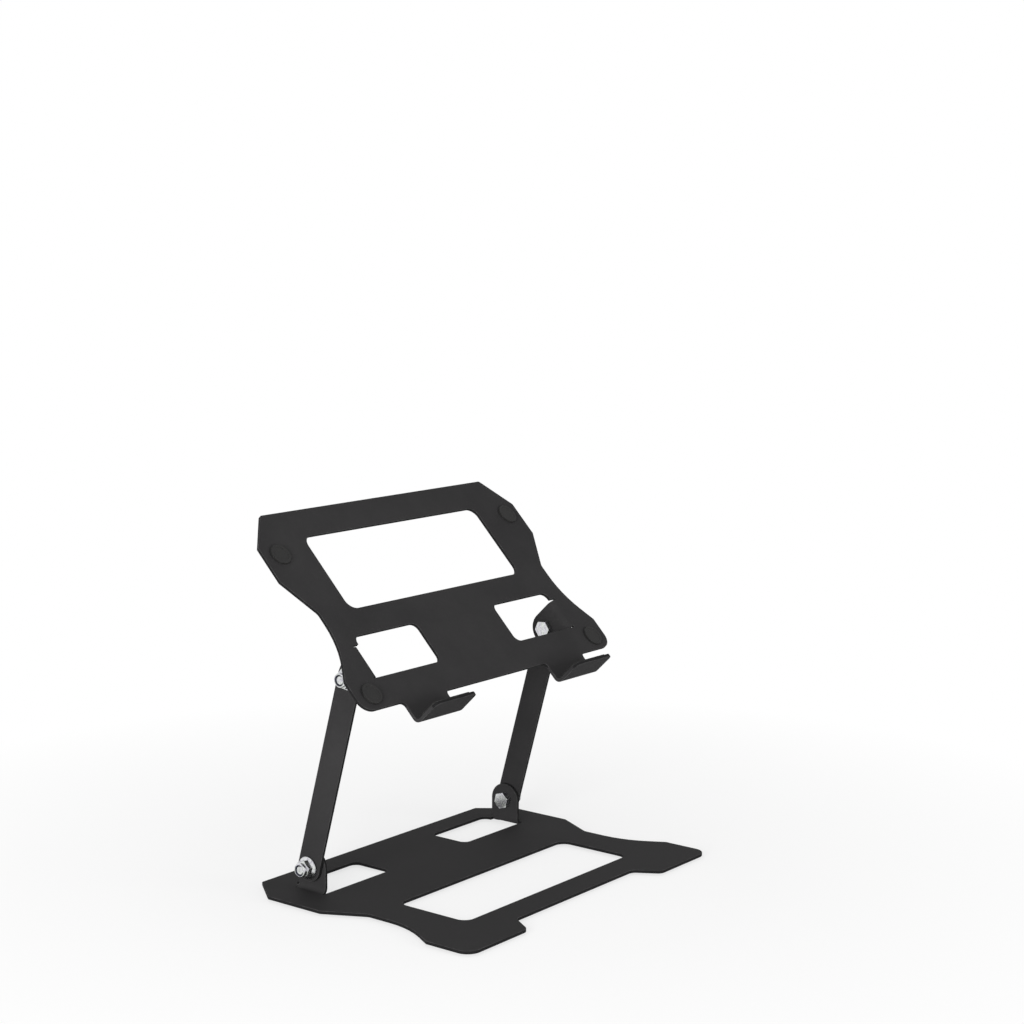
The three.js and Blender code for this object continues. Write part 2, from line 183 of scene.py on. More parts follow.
def prism(name, corners, plane, origin, depth):
    """A solid with one outline."""
    draw_outline(corners, plane, origin, name)
    return fill_and_extrude(depth)


def circle(radius, centre):
    """Four rounded corners that make a full circle."""
    a, b = centre
    return [
        (a - radius, b - radius, radius),
        (a + radius, b - radius, radius),
        (a + radius, b + radius, radius),
        (a - radius, b + radius, radius),
    ]


def rectangle(low_a, high_a, low_b, high_b, radius):
    """Four corners of a rectangle, all with one radius."""
    return [
        (low_a, low_b, radius),
        (high_a, low_b, radius),
        (high_a, high_b, radius),
        (low_a, high_b, radius),
    ]


def mirrored(right_corners):
    """A whole outline from its right half, which runs from the rear to the front."""
    left = [(-x, y, radius) for x, y, radius in right_corners]
    return left + right_corners[::-1]


print("outline helpers ready")

# %% [markdown]
# ## Joining, cutting and easing
# A laser-cut, bent and powder-coated sheet has no knife edges: the coat rounds each rim by a
# fraction of a millimetre, and that small round is what catches the light. Holes are drilled and
# hexagons are shaped with a Boolean modifier, and a Bevel modifier then eases every rim at once.
# Tabs and hooks are folded from the sheet itself. Cut walls are marked before the easing and rims
# after it, because the coat is darker on a cut wall, partly for a thinner coat and partly as painted
# shade, and paler on a rim, partly for wear and partly as a painted highlight.

# %% Solid helpers
EDGE_EASE = 0.15 * MM
EASE_SEGMENTS = 3
EASE_ANGLE = math.radians(35)
SMOOTH_ANGLE = math.radians(32)
FLAT_ANGLE = math.radians(0.5)
SORT_POINT = Vector((311, 173, 537)) * MM
PLACE_DIGITS = 8
DEEP_METAL = SHEET * 1.5
FACE_SLOT, RIM_SLOT, CUT_SLOT = 0, 1, 2


def apply_modifier(piece, modifier):
    """Applies a modifier for good."""
    pick(piece)
    bpy.ops.object.modifier_apply(modifier=modifier.name)


def combine(piece, tool, operation):
    """Joins, cuts or intersects a piece with a tool, which is used up."""
    modifier = piece.modifiers.new("combine", "BOOLEAN")
    modifier.operation = operation
    modifier.solver = "EXACT"
    modifier.object = tool
    apply_modifier(piece, modifier)
    bpy.data.objects.remove(tool)


def place(piece, matrix):
    """Moves a piece and leaves the move in its mesh, with the object at the origin."""
    pick(piece)
    piece.matrix_world = matrix
    bpy.ops.object.transform_apply(location=True, rotation=True, scale=True)
    return piece


def copy_of(piece, name):
    """A copy with a mesh of its own."""
    pick(piece)
    bpy.ops.object.duplicate(linked=False)
    copy = bpy.context.object
    copy.name = name
    copy.data.name = name
    return copy


def settle_order(piece):
    """Writes the mesh anew in an order that only its places decide.

    A Boolean can hand over the same shape in another order in each run. The steps that follow
    would then choose other seams, and the rims would differ a little.
    """
    mesh = piece.data
    places = [tuple(round(value, PLACE_DIGITS) for value in point.co) for point in mesh.vertices]
    order = sorted(range(len(places)), key=places.__getitem__)
    rank = {old: new for new, old in enumerate(order)}
    loops = []
    for face in mesh.polygons:
        loop = [rank[index] for index in face.vertices]
        start = loop.index(min(loop))
        loops.append(loop[start:] + loop[:start])
    mesh.clear_geometry()
    mesh.from_pydata([places[old] for old in order], [], sorted(loops))
    mesh.update()


def tidy_faces(piece, flatten):
    """Welds doubled points and, in a sheet, dissolves the seams inside flat faces.

    The elements are sorted by their distance from one far point, so each run gives the same faces.
    A turned piece keeps its seams: its flat end is a ring, which one face can't fill.
    """
    if flatten:
        settle_order(piece)
    pick(piece)
    bpy.context.scene.cursor.location = SORT_POINT
    bpy.ops.object.mode_set(mode="EDIT")
    bpy.ops.mesh.select_all(action="SELECT")
    bpy.ops.mesh.sort_elements(type="CURSOR_DISTANCE", elements={"VERT", "EDGE", "FACE"})
    bpy.ops.mesh.remove_doubles(threshold=WELD_DISTANCE)
    if flatten:
        bpy.ops.mesh.dissolve_limited(angle_limit=FLAT_ANGLE)
    bpy.ops.object.mode_set(mode="OBJECT")


def settle_normals(piece):
    """Shades a piece smooth while its flat faces stay flat."""
    pick(piece)
    bpy.ops.object.shade_smooth_by_angle(angle=SMOOTH_ANGLE)
    modifier = piece.modifiers.new("flat_faces", "WEIGHTED_NORMAL")
    modifier.keep_sharp = True
    apply_modifier(piece, modifier)


def mark_cut_walls(piece):
    """Gives the cut walls of a sheet a slot of their own: the metal behind them is deep."""
    for face in piece.data.polygons:
        inward = -face.normal
        hit, far_side, *rest = piece.ray_cast(face.center + inward * WELD_DISTANCE, inward)
        if hit and (far_side - face.center).length > DEEP_METAL:
            face.material_index = CUT_SLOT


def ease(piece, width, sheet_metal=False):
    """Rounds every sharp edge of a piece, and marks the rounded rims and the cut walls.

    In a sheet the bevel neither clamps its width nor slides along the seams of the flat faces, so
    each rim gets the full width all round.
    """
    tidy_faces(piece, flatten=sheet_metal)
    for slot_index in (FACE_SLOT, RIM_SLOT, CUT_SLOT):
        piece.data.materials.append(None)
    if sheet_metal:
        mark_cut_walls(piece)
    modifier = piece.modifiers.new("ease", "BEVEL")
    modifier.width = width
    modifier.segments = EASE_SEGMENTS
    modifier.limit_method = "ANGLE"
    modifier.angle_limit = EASE_ANGLE
    modifier.material = RIM_SLOT
    if sheet_metal:
        modifier.loop_slide = False
        modifier.use_clamp_overlap = False
    apply_modifier(piece, modifier)
    for mark_name, slot_index in (("rim", RIM_SLOT), ("cut", CUT_SLOT)):
        mark = piece.data.attributes.new(mark_name, "FLOAT", "FACE")
        for face in piece.data.polygons:
            mark.data[face.index].value = float(face.material_index == slot_index)
    piece.data.materials.clear()
    settle_normals(piece)


def open_faces(piece, wanted):
    """Opens a piece in edit mode with only those faces selected whose centre is wanted."""
    pick(piece)
    bpy.ops.object.mode_set(mode="EDIT")
    bpy.ops.mesh.select_mode(type="FACE")
    bpy.ops.mesh.select_all(action="DESELECT")
    bpy.ops.object.mode_set(mode="OBJECT")
    for face in piece.data.polygons:
        face.select = wanted(face.center)
    bpy.ops.object.mode_set(mode="EDIT")


def fold(piece, wanted, centre, axis, turn, rise):
    """Bends the sheet up from one edge face and carries it on straight, as a press brake does."""
    open_faces(piece, wanted)
    steps = math.ceil(abs(turn) / ARC_STEP)
    bpy.ops.mesh.spin(steps=steps, angle=-turn, center=centre, axis=axis)
    bpy.ops.mesh.extrude_region_move(TRANSFORM_OT_translate={"value": rise})
    bpy.ops.mesh.select_mode(type="VERT")
    bpy.ops.object.mode_set(mode="OBJECT")


def round_corners(piece, wanted, radius):
    """Rounds the edges across the sheet for which both ends are wanted."""
    open_faces(piece, lambda centre: False)
    bpy.ops.mesh.select_mode(type="EDGE")
    bpy.ops.object.mode_set(mode="OBJECT")
    for edge in piece.data.edges:
        ends = [piece.data.vertices[index].co for index in edge.vertices]
        edge.select = wanted(*ends)
    bpy.ops.object.mode_set(mode="EDIT")
    segments = math.ceil(math.pi / 2 / ARC_STEP)
    bpy.ops.mesh.bevel(offset=radius, segments=segments, profile=0.5, clamp_overlap=False)
    bpy.ops.mesh.select_mode(type="VERT")
    bpy.ops.object.mode_set(mode="OBJECT")


print("solid helpers ready")

# %% [markdown]
# ## The base plate
# The real plate is one blank: two rounded toes in front, a waist at each side, a shallow bay
# between the toes, and three windows. The metal of each side window is bent up as a hinge tab, so
# the tab's width and height come from the window. The flat blank is drawn first, with its windows
# as further outlines of the same piece.

# %% Sheet blanks
CORNER_WIDTH, CORNER_DEPTH, CORNER_RADIUS = 17.5 * MM, 22.5 * MM, 2 * MM
WAIST_DEPTH, WAIST_SWEEP, WAIST_EASE, TOE_RADIUS = 14 * MM, 60 * MM, 6 * MM, 9 * MM
TAB_WINDOW_LENGTH, TAB_WINDOW_AHEAD, TAB_WINDOW_BEHIND = 61.7 * MM, 12 * MM, 17.8 * MM
TAB_WINDOW_RADIUS, TAB_RELIEF = 5 * MM, 1 * MM
WINDOW_SIDE_RAIL, WINDOW_RADIUS = 40 * MM, 7 * MM


def side_corners(rear, waist_rear, waist_rear_end, waist_front_end, waist_front, front):
    """The right-hand side of a sheet from its rear edge to its front corner."""
    return [
        (SIDE_X - CORNER_WIDTH, rear, CORNER_RADIUS),
        (SIDE_X, rear - CORNER_DEPTH, CORNER_RADIUS),
        (SIDE_X, waist_rear, CORNER_RADIUS),
        (SIDE_X - WAIST_DEPTH, waist_rear_end, WAIST_EASE),
        (SIDE_X - WAIST_DEPTH, waist_front_end, WAIST_SWEEP),
        (SIDE_X, waist_front, CORNER_RADIUS),
        (SIDE_X, front, TOE_RADIUS),
    ]


def tab_window(hinge_y):
    """The right-hand window that a tab is bent out of, with two marks where the tab stays on."""
    inner_x = TAB_ROOT_X - TAB_WINDOW_LENGTH
    front, rear = hinge_y - TAB_WINDOW_AHEAD, hinge_y + TAB_WINDOW_BEHIND
    relief_y = hinge_y + TAB_WIDTH / 2 + TAB_RELIEF
    return [
        (inner_x, front, TAB_WINDOW_RADIUS),
        (TAB_ROOT_X, front, 0),
        (TAB_ROOT_X, hinge_y - TAB_WIDTH / 2, 0),
        (TAB_ROOT_X, hinge_y + TAB_WIDTH / 2, 0),
        (TAB_ROOT_X, relief_y, 0),
        (TAB_INNER_X, relief_y, 0),
        (TAB_INNER_X, rear, TAB_WINDOW_RADIUS),
        (inner_x, rear, TAB_WINDOW_RADIUS),
    ]


def sheet_blank(name, right_half, hinge_y, window_front, window_rear, underside):
    """A flat sheet with its outline, its two side windows and its wide window."""
    origin = Z_AXIS * underside
    window_x = SIDE_X - WINDOW_SIDE_RAIL
    right_window = tab_window(hinge_y)
    left_window = [(-x, y, radius) for x, y, radius in right_window[::-1]]
    wide_window = rectangle(-window_x, window_x, window_front, window_rear, WINDOW_RADIUS)
    draw_outline(mirrored(right_half), XY_PLANE, origin, name)
    for window in (right_window, left_window, wide_window):
        draw_outline(window, XY_PLANE, origin)
    return fill_and_extrude(Z_AXIS * SHEET)


BAY_DEPTH, BAY_SLOPE, BAY_RADIUS, PLATE_TOE_WIDTH = 16 * MM, 10 * MM, 5.5 * MM, 53 * MM
WAIST_REAR_Y, WAIST_REAR_END_Y = 25 * MM, -1.5 * MM
WAIST_FRONT_END_Y, WAIST_FRONT_Y = -33.5 * MM, -58 * MM
PLATE_WINDOW_FRONT, PLATE_WINDOW_REAR = -55 * MM, -2 * MM

plate_half = side_corners(
    REAR_Y, WAIST_REAR_Y, WAIST_REAR_END_Y, WAIST_FRONT_END_Y, WAIST_FRONT_Y, -REAR_Y
)
plate_half.append((SIDE_X - PLATE_TOE_WIDTH, -REAR_Y, BAY_RADIUS))
plate_half.append((SIDE_X - PLATE_TOE_WIDTH - BAY_SLOPE, BAY_DEPTH - REAR_Y, BAY_RADIUS))
base_plate = sheet_blank(
    "base_plate_sheet",
    plate_half,
    LOWER_AXIS.y,
    PLATE_WINDOW_FRONT,
    PLATE_WINDOW_REAR,
    FOOT_HEIGHT,
)
print("base plate blank", len(base_plate.data.polygons), "faces")

# %% [markdown]
# ## Bent tabs
# A press brake bends each tab out of its window. Here the thin face that the window leaves at the
# tab's root is spun through a right angle around the bend's centre and extruded on to the tab's
# height, so the sheet stays one unbroken solid. Its top corners are rounded until they meet, and a
# bolt hole is cut. The same two tabs stand up on the base and hang under the platform.

# %% Hinge tabs
TAB_TOP_RADIUS = TAB_WIDTH / 2 - WELD_DISTANCE * 2


def add_tabs(sheet, axis, up):
    """Bends both tabs of a sheet up (1) or down (-1) to a bolt axis along X, and drills them."""
    sheet_z = axis.z - up * (HINGE_HEIGHT - SHEET / 2)
    centre_z = axis.z - up * (HINGE_HEIGHT - TAB_BEND)
    tip_z = axis.z + up * TAB_WIDTH / 2
    for side in (1, -1):
        root_x = side * TAB_ROOT_X

        def at_root(centre):
            beside = abs(centre.x - root_x) < WELD_DISTANCE and abs(centre.z - sheet_z) < SHEET
            return beside and abs(centre.y - axis.y) < TAB_WIDTH / 4

        def across_tip(one, other):
            across = abs(one.x - other.x) > SHEET / 2
            return across and min(one.z * up, other.z * up) > tip_z * up - WELD_DISTANCE

        centre = (root_x, axis.y, centre_z)
        rise = Z_AXIS * (tip_z - centre_z)
        fold(sheet, at_root, centre, Y_AXIS, side * up * math.pi / 2, rise)
    round_corners(sheet, across_tip, TAB_TOP_RADIUS)
    drill_start = X_AXIS * -(TAB_INNER_X + SHEET + CUT_OVERRUN) + axis
    drill_length = X_AXIS * 2 * (TAB_INNER_X + SHEET + CUT_OVERRUN)
    drill = prism("drill", circle(HOLE_RADIUS, (0, 0)), YZ_PLANE, drill_start, drill_length)
    combine(sheet, drill, "DIFFERENCE")


add_tabs(base_plate, LOWER_AXIS, 1)
ease(base_plate, EDGE_EASE, sheet_metal=True)
print("base plate", len(base_plate.data.polygons), "faces")

# %% [markdown]
# ## The platform
# The platform is the same kind of blank with two tongues in front, which are bent up into hooks.
# Its hinge tabs hang down. It is modelled flat, around its hinge axis, and tilted when it is done.

# %% Platform
PLATFORM_REACH, PLATFORM_DEPTH = 47.8 * MM, 160 * MM
FRONT_STEP, HOOK_INSET, HOOK_WIDTH, HOOK_HEIGHT = 16 * MM, 53.5 * MM, 38 * MM, 21.5 * MM
HOOK_BEND, HOOK_TIP_RADIUS, HOOK_ROOT_RADIUS = 4.5 * MM, 4 * MM, 3 * MM
WAIST_FROM_REAR, WAIST_REAR_SLOPE = 48 * MM, 26 * MM
WAIST_FROM_FRONT, WAIST_FRONT_SLOPE = 22 * MM, 24 * MM
WINDOW_SETBACK, WINDOW_DEPTH = 20 * MM, 56 * MM
UNDERSIDE = HINGE_HEIGHT - SHEET
HOOK_X = SIDE_X - HOOK_INSET


def add_hooks(sheet, bend_y):
    """Bends both tongues up into hooks and rounds their tips."""
    centre_z = UNDERSIDE + HOOK_BEND
    tip_z = UNDERSIDE + HOOK_HEIGHT

    def at_tongue_end(centre):
        return abs(centre.y - bend_y) < WELD_DISTANCE and abs(centre.x) > HOOK_X - HOOK_WIDTH / 2

    def across_tip(one, other):
        across = abs(one.y - other.y) > SHEET / 2
        return across and min(one.z, other.z) > tip_z - WELD_DISTANCE

    rise = Z_AXIS * (tip_z - centre_z)
    fold(sheet, at_tongue_end, (0, bend_y, centre_z), X_AXIS, -math.pi / 2, rise)
    round_corners(sheet, across_tip, HOOK_TIP_RADIUS)


platform_front = FRONT_STEP - PLATFORM_REACH
platform_rear = PLATFORM_DEPTH - PLATFORM_REACH
bend_start = HOOK_BEND - PLATFORM_REACH
window_rear = platform_rear - WINDOW_SETBACK
platform_half = side_corners(
    platform_rear,
    platform_rear - WAIST_FROM_REAR,
    platform_rear - WAIST_FROM_REAR - WAIST_REAR_SLOPE,
    platform_front + WAIST_FROM_FRONT + WAIST_FRONT_SLOPE,
    platform_front + WAIST_FROM_FRONT,
    platform_front,
)
platform_half.append((HOOK_X + HOOK_WIDTH / 2, platform_front, HOOK_ROOT_RADIUS))
platform_half.append((HOOK_X + HOOK_WIDTH / 2, bend_start, 0))
platform_half.append((HOOK_X - HOOK_WIDTH / 2, bend_start, 0))
platform_half.append((HOOK_X - HOOK_WIDTH / 2, platform_front, HOOK_ROOT_RADIUS))
platform = sheet_blank(
    "platform_sheet", platform_half, 0, window_rear - WINDOW_DEPTH, window_rear, UNDERSIDE
)
add_hooks(platform, bend_start)
add_tabs(platform, Vector((0, 0, 0)), -1)
ease(platform, EDGE_EASE, sheet_metal=True)
PLATFORM_PLACE = Matrix.Translation(UPPER_AXIS) @ Matrix.Rotation(PLATFORM_TILT, 4, "X")
place(platform, PLATFORM_PLACE)
print("platform", len(platform.data.polygons), "faces")

# %% [markdown]
# ## The arms
# Each arm is a flat bar with round ends and a bolt hole at each end. It is drawn upright over its
# lower hole and then leaned towards the user.

# %% Arms
half_width = ARM_WIDTH / 2
arm_outline = rectangle(-half_width, half_width, -half_width, ARM_LENGTH + half_width, half_width)
ARM_PLACE = Matrix.Translation(LOWER_AXIS) @ Matrix.Rotation(ARM_LEAN, 4, "X")
arms = {}
for side_name, inner_x in (("left", -ARM_X - SHEET), ("right", ARM_X)):
    origin = X_AXIS * inner_x
    draw_outline(arm_outline, YZ_PLANE, origin, side_name + "_arm_bar")
    for hole_height in (0, ARM_LENGTH):
        draw_outline(circle(HOLE_RADIUS, (0, hole_height)), YZ_PLANE, origin)
    arm = fill_and_extrude(X_AXIS * SHEET)
    ease(arm, EDGE_EASE, sheet_metal=True)
    arms[side_name] = place(arm, ARM_PLACE)
print("arms", [len(arm.data.polygons) for arm in arms.values()], "faces each")

# %% [markdown]
# ## Turned pieces
# Bolts, nuts, washers, feet and pads are round about an axis. On a lathe the tool follows half of
# the section, and here that half section is drawn and spun a full turn. Where it touches the axis,
# the edge on the axis is left loose by the weld and is deleted.

# %% Turning helper
TURN_STEPS = 72


def turned(name, corners, axis):
    """A solid turned from a closed half section of (along, out, radius) or, about Z, (out, up)."""
    draw_outline(corners, XZ_PLANE, Vector((0, 0, 0)), name)
    bpy.ops.mesh.select_all(action="SELECT")
    bpy.ops.mesh.remove_doubles(threshold=WELD_DISTANCE)
    bpy.ops.mesh.spin(steps=TURN_STEPS, angle=2 * math.pi, center=(0, 0, 0), axis=axis)
    bpy.ops.mesh.select_all(action="SELECT")
    bpy.ops.mesh.remove_doubles(threshold=WELD_DISTANCE)
    bpy.ops.mesh.delete_loose(use_verts=True, use_edges=True, use_faces=False)
    bpy.ops.mesh.select_all(action="SELECT")
    bpy.ops.mesh.normals_make_consistent(inside=False)
    bpy.ops.object.mode_set(mode="OBJECT")
    return bpy.context.object


def hexagon(name, across, start, end):
    """A hexagonal bar about the X axis with a corner at the top."""
    select_none()
    bpy.ops.mesh.primitive_cylinder_add(
        vertices=6,
        radius=across / math.sqrt(3),
        depth=end - start,
        location=((start + end) / 2, 0, 0),
        rotation=(0, math.pi / 2, 0),
    )
    bar = bpy.context.object
    bar.name = name
    bpy.ops.object.transform_apply(location=True, rotation=True, scale=True)
    return place(bar, Matrix.Rotation(math.pi / 6, 4, "X"))


print("turning helpers ready")

# %% [markdown]
# ## Bolts and lock nuts
# A hexagon head is a hexagonal bar whose corners are turned back to a cone, so it is made as the
# meeting of a hexagon and a turned blank. The cone is steeper on the nut than on the flat head of
# the bolt. The lock nut adds a broad flange below and a rolled collar above, which holds a nylon
# ring. In the frame each piece keeps a small working gap. Here those gaps are closed down to a
# hair, because the real hinge is clamped tight.

# %% Bolt
HAIR_GAP = 0.04 * MM
HEAD_ACROSS = 10 * MM
HEAD_HEIGHT, HEAD_FACE_RADIUS = 4 * MM, 4.9 * MM
BOLT_RADIUS, TIP_CHAMFER = 3 * MM, 0.6 * MM
HEAD_SLOPE, HEX_SLOPE = math.tan(math.radians(12)), math.tan(math.radians(30))
HARDWARE_EASE = 0.16 * MM
NUT_HEIGHT, BOLT_END_RECESS = 8 * MM, 0.5 * MM
CORNER_OUT = HEAD_ACROSS / math.sqrt(3) + CUT_OVERRUN

head_start = TAB_INNER_X - SEAT_GAP - HEAD_HEIGHT
head_end = TAB_INNER_X - HAIR_GAP
cone_depth = (CORNER_OUT - HEAD_FACE_RADIUS) * HEAD_SLOPE
bolt_master = hexagon("bolt_master", HEAD_ACROSS, head_start, head_end)
head_blank = turned(
    "head_blank",
    [
        (head_start, 0, 0),
        (head_end + CUT_OVERRUN, 0, 0),
        (head_end + CUT_OVERRUN, CORNER_OUT, 0),
        (head_start + cone_depth, CORNER_OUT, 0),
        (head_start, HEAD_FACE_RADIUS, 0),
    ],
    X_AXIS,
)
combine(bolt_master, head_blank, "INTERSECT")
bolt_end = NUT_X + NUT_HEIGHT - BOLT_END_RECESS
shank = turned(
    "shank",
    [
        (head_end - HEAD_HEIGHT / 2, 0, 0),
        (bolt_end, 0, 0),
        (bolt_end, BOLT_RADIUS - TIP_CHAMFER, 0),
        (bolt_end - TIP_CHAMFER, BOLT_RADIUS, 0),
        (head_end - HEAD_HEIGHT / 2, BOLT_RADIUS, 0),
    ],
    X_AXIS,
)
combine(bolt_master, shank, "UNION")
ease(bolt_master, HARDWARE_EASE)
print("bolt", len(bolt_master.data.polygons), "faces")

# %% Lock nut
FLANGE_RADIUS, FLANGE_EDGE, FLANGE_HEIGHT = 7.1 * MM, 1.1 * MM, 2.4 * MM
NUT_HEX_TOP, NUT_HEX_FACE_RADIUS = 5.6 * MM, 4.8 * MM
COLLAR_RADIUS, COLLAR_ROUND, COLLAR_LIP = 4.5 * MM, 0.9 * MM, 0.4 * MM
COLLAR_MOUTH_RADIUS, RING_POCKET_RADIUS, RING_POCKET_FLOOR = 3.5 * MM, 4 * MM, 5.8 * MM

nut_start = NUT_X - SEAT_GAP + HAIR_GAP
nut_end = NUT_X + NUT_HEIGHT
nut_master = turned(
    "nut_master",
    [
        (nut_start, HOLE_RADIUS, 0),
        (NUT_X + RING_POCKET_FLOOR, HOLE_RADIUS, 0),
        (NUT_X + RING_POCKET_FLOOR, RING_POCKET_RADIUS, 0),
        (nut_end - COLLAR_LIP, RING_POCKET_RADIUS, 0),
        (nut_end - COLLAR_LIP, COLLAR_MOUTH_RADIUS, 0),
        (nut_end, COLLAR_MOUTH_RADIUS, 0),
        (nut_end, COLLAR_RADIUS, COLLAR_ROUND),
        (NUT_X + FLANGE_HEIGHT, COLLAR_RADIUS, 0),
        (NUT_X + FLANGE_EDGE, FLANGE_RADIUS, FLANGE_EDGE / 3),
        (nut_start, FLANGE_RADIUS, FLANGE_EDGE / 3),
    ],
    X_AXIS,
)
hex_top = NUT_X + NUT_HEX_TOP
nut_hex = hexagon("nut_hex", HEAD_ACROSS, NUT_X + FLANGE_EDGE / 2, hex_top)
cone_depth = (CORNER_OUT - NUT_HEX_FACE_RADIUS) * HEX_SLOPE
nut_blank = turned(
    "nut_blank",
    [
        (nut_start, HOLE_RADIUS, 0),
        (hex_top, HOLE_RADIUS, 0),
        (hex_top, NUT_HEX_FACE_RADIUS, 0),
        (hex_top - cone_depth, CORNER_OUT, 0),
        (nut_start, CORNER_OUT, 0),
    ],
    X_AXIS,
)
combine(nut_hex, nut_blank, "INTERSECT")
combine(nut_master, nut_hex, "UNION")
ease(nut_master, HARDWARE_EASE)
print("lock nut", len(nut_master.data.polygons), "faces")

# %% Washer and nylon ring
WASHER_RADIUS, RING_CLEARANCE = 7 * MM, 0.05 * MM
washer_corner = WASHER_THICKNESS / 4
washer_start = TAB_INNER_X + SHEET + HAIR_GAP
washer_end = ARM_X - HAIR_GAP
washer_master = turned(
    "washer_master",
    [
        (washer_start, HOLE_RADIUS, washer_corner),
        (washer_end, HOLE_RADIUS, washer_corner),
        (washer_end, WASHER_RADIUS, washer_corner),
        (washer_start, WASHER_RADIUS, washer_corner),
    ],
    X_AXIS,
)
ring_start = NUT_X + RING_POCKET_FLOOR + RING_CLEARANCE
ring_end = nut_end - COLLAR_LIP - RING_CLEARANCE
ring_inner, ring_outer = BOLT_RADIUS + RING_CLEARANCE, RING_POCKET_RADIUS - RING_CLEARANCE
ring_corner = (ring_outer - ring_inner) / 4
ring_master = turned(
    "ring_master",
    [
        (ring_start, ring_inner, ring_corner),
        (ring_end, ring_inner, ring_corner),
        (ring_end, ring_outer, ring_corner),
        (ring_start, ring_outer, ring_corner),
    ],
    X_AXIS,
)
for master in (washer_master, ring_master):
    settle_normals(master)
print("washer and ring", len(washer_master.data.polygons), len(ring_master.data.polygons), "faces")

# %% [markdown]
# ## Four hinges
# Each hinge is a copy of the same four masters. The left side is the right side turned half round.
# A hexagon stops where it happens to be tight, so each bolt and nut has an angle of its own.

# %% Fit the hinges
HINGES = {
    "lower_left": (LOWER_AXIS, math.pi, -13, -14),
    "lower_right": (LOWER_AXIS, 0, 13, 14),
    "upper_left": (UPPER_AXIS, math.pi, -25, -40),
    "upper_right": (UPPER_AXIS, 0, 25, 40),
}
hardware = []
for hinge_name, (axis, half_turn, bolt_turn, nut_turn) in HINGES.items():
    hinge_place = Matrix.Translation(axis) @ Matrix.Rotation(half_turn, 4, "Z")
    parts = (
        (bolt_master, "bolt", "hex_bolt", bolt_turn, "zinc"),
        (nut_master, "nut", "lock_nut", nut_turn, "zinc"),
        (washer_master, "washer", "friction_washer", 0, "nylon"),
        (ring_master, "nut_ring", "locking_ring", 0, "nylon"),
    )
    for master, node_word, piece_word, turn, slot_name in parts:
        piece = copy_of(master, hinge_name + "_" + piece_word)
        place(piece, hinge_place @ Matrix.Rotation(math.radians(turn), 4, "X"))
        body = "base" if hinge_name.startswith("lower") else "upper_bolts"
        hardware.append((piece, body, hinge_name + "_" + node_word, slot_name))
for master in (bolt_master, nut_master, washer_master, ring_master):
    bpy.data.objects.remove(master)
print(len(hardware), "hinge pieces")

# %% [markdown]
# ## Rubber trim
# Four low feet keep the base off the desk, four pads hold the laptop and two liners keep its edge
# off the hooks. The feet and pads are turned discs with a slightly dished face, and the liners are
# rounded strips.

# %% Feet, pads and liners
DISC_RADIUS, DISC_RIM, DISC_DISH = 7 * MM, 1.6 * MM, 0.25 * MM
PAD_THICKNESS, FOOT_ROUND, PAD_ROUND = 1.2 * MM, 0.4 * MM, 0.3 * MM
FOOT_X, FOOT_FRONT_Y, FOOT_REAR_Y = 108 * MM, -73.5 * MM, 69 * MM
PAD_X, PAD_FRONT_Y, PAD_REAR_Y = 109.5 * MM, -21.8 * MM, 82.2 * MM


def near_corners(x, front_y, rear_y):
    """The names and places of four pieces, one near each corner of a sheet."""
    return {
        "front_left": (-x, front_y),
        "front_right": (x, front_y),
        "rear_left": (-x, rear_y),
        "rear_right": (x, rear_y),
    }


def rubber_disc(name, height, edge_round):
    """A disc that stands on the origin, with a rim and a shallow dish on its top face."""
    dish_edge = DISC_RADIUS - DISC_RIM
    disc = turned(
        name,
        [
            (0, 0, 0),
            (DISC_RADIUS, 0, edge_round / 3),
            (DISC_RADIUS, height, edge_round),
            (dish_edge, height, DISC_DISH / 2),
            (dish_edge - DISC_DISH, height - DISC_DISH, DISC_DISH / 2),
            (0, height - DISC_DISH, 0),
        ],
        Z_AXIS,
    )
    settle_normals(disc)
    return disc


trim = []
foot_master = rubber_disc("foot_master", FOOT_HEIGHT - HAIR_GAP, FOOT_ROUND)
for corner_name, (x, y) in near_corners(FOOT_X, FOOT_FRONT_Y, FOOT_REAR_Y).items():
    foot = copy_of(foot_master, "rubber_foot_" + corner_name)
    upside_down = Matrix.Rotation(math.pi, 4, "X")
    place(foot, Matrix.Translation((x, y, FOOT_HEIGHT - HAIR_GAP)) @ upside_down)
    trim.append((foot, "base", "base_foot_" + corner_name, "rubber"))

pad_top = HINGE_HEIGHT + SEAT_GAP + PAD_THICKNESS
pad_base = HINGE_HEIGHT + HAIR_GAP
pad_master = rubber_disc("pad_master", pad_top - pad_base, PAD_ROUND)
for corner_name, (x, y) in near_corners(PAD_X, PAD_FRONT_Y, PAD_REAR_Y).items():
    pad = copy_of(pad_master, "grip_pad_" + corner_name)
    place(pad, PLATFORM_PLACE @ Matrix.Translation((x, y, pad_base)))
    trim.append((pad, "platform", "platform_pad_" + corner_name, "rubber"))
bpy.data.objects.remove(foot_master)
bpy.data.objects.remove(pad_master)

